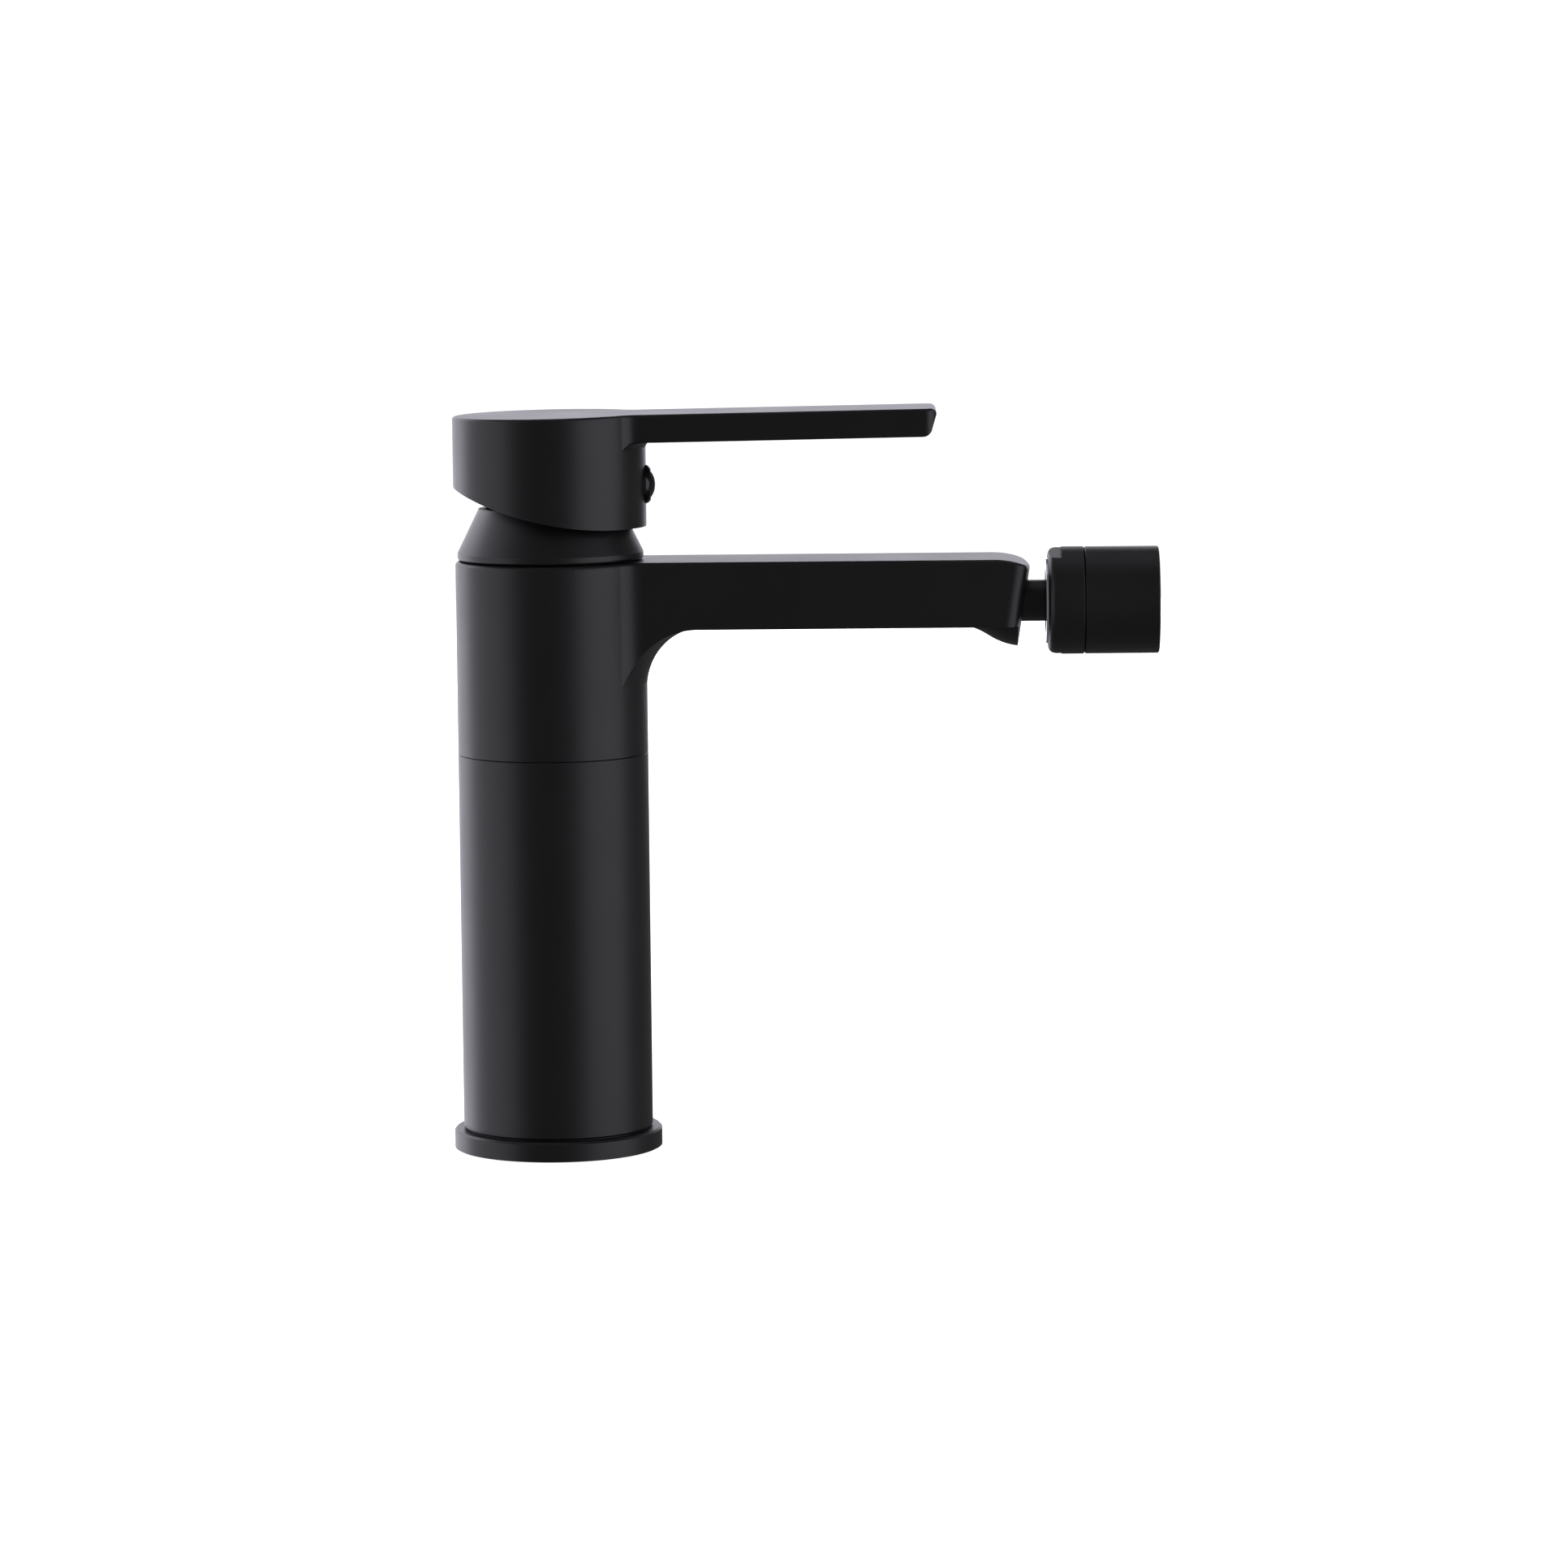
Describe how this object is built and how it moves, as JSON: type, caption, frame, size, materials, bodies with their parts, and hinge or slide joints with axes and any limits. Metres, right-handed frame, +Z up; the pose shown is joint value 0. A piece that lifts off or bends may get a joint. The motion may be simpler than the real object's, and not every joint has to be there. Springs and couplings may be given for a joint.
{
  "type": "bathroom mixer faucet",
  "caption": "Tall single-lever basin mixer: round column, flat spout with a ball-jointed outlet, conical bonnet and flat lever over a ceramic cartridge.",
  "frame": {"origin": "on the column axis, in the plane of the deck that the foot ring stands on", "axes": "+Z up along the column, +X along the spout and the lever at rest"},
  "size_m": [0.1793, 0.0528, 0.1871],
  "materials": {
    "satin_black": "satin black coating on brass",
    "sleeve_black": "satin black coating on brass tube",
    "handle_black": "satin black coating on zinc alloy",
    "outlet_black": "satin black coating on brass",
    "raw_brass": "machined",
    "bright_chrome": "polished",
    "stainless": "ground",
    "black_rubber": "moulded",
    "white_ceramic": "lapped",
    "housing_plastic": "moulded acetal",
    "rotor_plastic": "moulded glass-filled polyamide",
    "ptfe": "turned PTFE",
    "aerator_plastic": "moulded acetal",
    "index_black": "gloss black",
    "index_red": "gloss red",
    "index_blue": "gloss blue",
    "clear_lens": "clear acrylic dome"
  },
  "bodies": {
    "faucet_body": {"base_ring": "satin_black", "base_gasket": "black_rubber", "column_sleeve": "sleeve_black", "skirt_seal": "black_rubber", "spout_body": "satin_black", "cartridge_base": "housing_plastic", "port_seals": "black_rubber", "disc_seals": "black_rubber", "fixed_disc": "white_ceramic", "cartridge_housing": "housing_plastic", "cartridge_nut": "raw_brass", "bonnet_cone": "satin_black", "ball_stem": "outlet_black"},
    "temperature_rotor": {"cartridge_rotor": "rotor_plastic", "pivot_pin": "stainless"},
    "disc_slide": {"moving_disc": "white_ceramic", "disc_carrier": "rotor_plastic"},
    "lever": {"cartridge_stem": "stainless", "lever_handle": "handle_black", "handle_grub_screw": "stainless", "index_ring": "index_black", "index_lens": "clear_lens", "index_hot": "index_red", "index_cold": "index_blue"},
    "ball_ring": {"rear_ball_ring": "ptfe"},
    "ball_seat": {"front_ball_seat": "ptfe"},
    "outlet_head": {"swivel_collar": "outlet_black", "collar_trim_ring": "bright_chrome", "outlet_barrel": "outlet_black", "seat_seal": "black_rubber", "aerator_washer": "black_rubber", "aerator_housing": "aerator_plastic", "flow_regulator": "aerator_plastic", "aerator_screens": "stainless", "aerator_grid": "aerator_plastic"}
  },
  "joints": [
    {"name": "temperature_turn", "type": "hinge", "parent": "faucet_body", "child": "temperature_rotor", "pos_m": [0, 0, 0.1447], "axis": [0, 0, 1], "range_deg": [-50, 50]},
    {"name": "lever_lift", "type": "hinge", "parent": "temperature_rotor", "child": "lever", "pos_m": [0, 0, 0.1447], "axis": [0, -1, 0], "range_deg": [0, 25]},
    {"name": "disc_travel", "type": "slide", "parent": "temperature_rotor", "child": "disc_slide", "axis": [1, 0, 0], "range_m": [0, 0.00395]},
    {"name": "outlet_yaw", "type": "hinge", "parent": "faucet_body", "child": "ball_ring", "pos_m": [0.132, 0, 0.138], "axis": [0, 0, 1], "range_deg": [-12, 12]},
    {"name": "outlet_pitch", "type": "hinge", "parent": "ball_ring", "child": "ball_seat", "pos_m": [0.132, 0, 0.138], "axis": [0, 1, 0], "range_deg": [-12, 12]},
    {"name": "outlet_spin", "type": "hinge", "parent": "ball_seat", "child": "outlet_head", "pos_m": [0.132, 0, 0.138], "axis": [1, 0, 0], "continuous": true}
  ],
  "couplings": [
    {"joint": "disc_travel", "follows": "lever_lift", "m_per_rad": 0.009}
  ]
}
